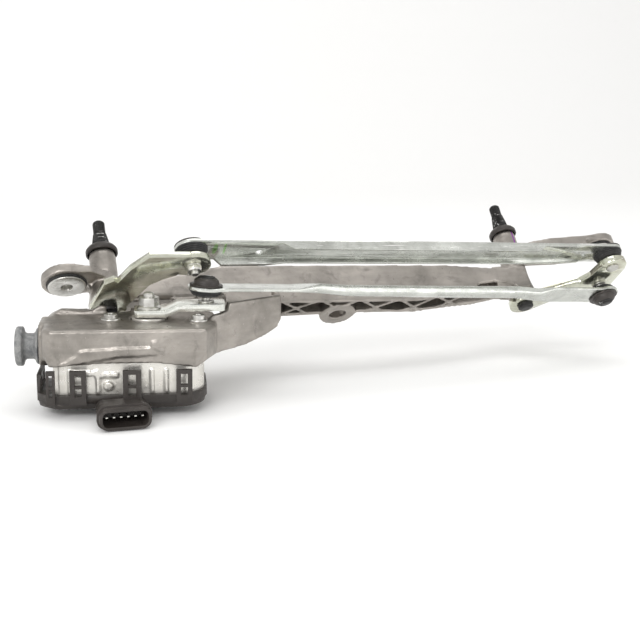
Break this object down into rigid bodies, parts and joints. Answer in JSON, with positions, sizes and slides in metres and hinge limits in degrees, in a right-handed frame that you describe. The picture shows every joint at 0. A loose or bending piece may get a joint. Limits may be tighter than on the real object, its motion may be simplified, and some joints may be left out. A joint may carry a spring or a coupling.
{
  "type": "windshield wiper drive",
  "caption": "Wiper drive: cast frame with gear motor, crank, two pressed links and two knurled spindles turned by levers.",
  "frame": {"origin": "centre of the left mounting sleeve", "axes": "+Z along the gear motor's output shaft, +X along the links towards the far spindle, -Y towards the front where the connector is; the spindles lean back 42 degrees from +Z towards +Y"},
  "size_m": [0.5497, 0.1972, 0.128],
  "materials": {
    "cast_aluminium": "as-cast, fine-grained",
    "housing_aluminium": "bright die casting",
    "zinc_steel": "zinc plated",
    "pale_zinc_steel": "yellow-green passivated zinc",
    "bright_steel": "plated",
    "black_steel": "black coated",
    "yoke_steel": "black dipped",
    "black_plastic": "moulded",
    "black_rubber": "moulded",
    "grey_rubber": "moulded",
    "bush_plastic": "moulded",
    "wheel_plastic": "moulded, greased",
    "bronze": "sintered",
    "copper": "turned",
    "board": "lacquered",
    "ferrite": "sintered",
    "tin_plate": "tinned"
  },
  "bodies": {
    "frame": {"cast_frame": "cast_aluminium", "gear_housing": "housing_aluminium", "housing_screws": "bright_steel", "control_cover": "black_plastic", "connector_pins": "tin_plate", "circuit_board": "board", "motor_can": "yoke_steel", "motor_magnets": "ferrite", "brush_holder": "black_plastic", "carbon_brushes": "ferrite", "armature_front_bush": "bronze", "armature_rear_bush": "bronze", "output_bush": "bronze", "left_mount_grommet": "black_rubber", "left_mount_sleeve": "bright_steel", "right_mount_grommet": "black_rubber", "right_mount_sleeve": "bright_steel", "locating_peg_grommet": "grey_rubber", "left_pivot_bushes": "bush_plastic", "right_pivot_bushes": "bush_plastic", "left_spindle_seal": "black_rubber", "right_spindle_seal": "black_rubber"},
    "crank": {"output_shaft": "bright_steel", "worm_wheel": "wheel_plastic", "crank_arm": "zinc_steel", "crank_nut": "bright_steel", "crank_ball_stud": "bright_steel"},
    "crank_seat": {"crank_ball_seat": "bush_plastic"},
    "lower_link": {"lower_link": "zinc_steel", "lower_link_crank_socket": "black_plastic", "lower_link_crank_boot": "black_rubber", "lower_link_lever_socket": "black_plastic", "lower_link_lever_boot": "black_rubber"},
    "right_pivot": {"right_spindle": "black_steel", "right_lever": "pale_zinc_steel", "right_lever_upper_ball_stud": "bright_steel", "right_lever_lower_ball_stud": "bright_steel", "right_collar_cap": "black_plastic", "right_thrust_washer": "bush_plastic", "right_retaining_ring": "black_steel"},
    "left_pivot": {"left_spindle": "black_steel", "left_lever": "pale_zinc_steel", "left_lever_ball_stud": "bright_steel", "left_collar_cap": "black_plastic", "left_thrust_washer": "bush_plastic", "left_retaining_ring": "black_steel"},
    "upper_link": {"upper_link": "zinc_steel", "upper_link_left_socket": "black_plastic", "upper_link_left_boot": "black_rubber", "upper_link_right_socket": "black_plastic", "upper_link_right_boot": "black_rubber"},
    "armature": {"armature_shaft": "bright_steel", "armature_core": "copper", "commutator": "copper"}
  },
  "joints": [
    {"name": "crank_turn", "type": "hinge", "parent": "frame", "child": "crank", "pos_m": [0.055, -0.05454, -0.02943], "axis": [0, 0, -1], "range_deg": [0, 120]},
    {"name": "right_pivot_turn", "type": "hinge", "parent": "frame", "child": "right_pivot", "pos_m": [0.40504, 0.00944, -0.03642], "axis": [0, -0.6691, -0.7431], "range_deg": [0, 69.4]},
    {"name": "left_pivot_turn", "type": "hinge", "parent": "frame", "child": "left_pivot", "pos_m": [0.03, -0.01054, -0.01843], "axis": [0, -0.6691, -0.7431], "range_deg": [0, 69.4]},
    {"name": "upper_link_swing", "type": "hinge", "parent": "left_pivot", "child": "upper_link", "pos_m": [0.088, -0.04978, 0.02766], "axis": [0, -0.6691, -0.7431], "range_deg": [-69.4, 0]},
    {"name": "crank_ball_turn", "type": "hinge", "parent": "crank", "child": "crank_seat", "pos_m": [0.09636, -0.06183, 0.00007], "axis": [0.1319, -0.1959, 0.9717], "range_deg": [0, 246.5]},
    {"name": "lower_link_swing", "type": "hinge", "parent": "crank_seat", "child": "lower_link", "pos_m": [0.09636, -0.06183, 0.00007], "axis": [-0.0451, 0.3535, -0.9343], "range_deg": [0, 126.5]},
    {"name": "armature_spin", "type": "hinge", "parent": "frame", "child": "armature", "pos_m": [0.05934, -0.02992, -0.05143], "axis": [0.9848, -0.1736, 0], "range_deg": [0, 7200]}
  ],
  "couplings": [
    {"joint": "right_pivot_turn", "follows": "crank_turn", "ratio": 0.5777},
    {"joint": "left_pivot_turn", "follows": "crank_turn", "ratio": 0.5777},
    {"joint": "upper_link_swing", "follows": "crank_turn", "ratio": -0.5777},
    {"joint": "crank_ball_turn", "follows": "crank_turn", "ratio": 2.051},
    {"joint": "lower_link_swing", "follows": "crank_turn", "ratio": 1.0503},
    {"joint": "armature_spin", "follows": "crank_turn", "ratio": 60}
  ]
}
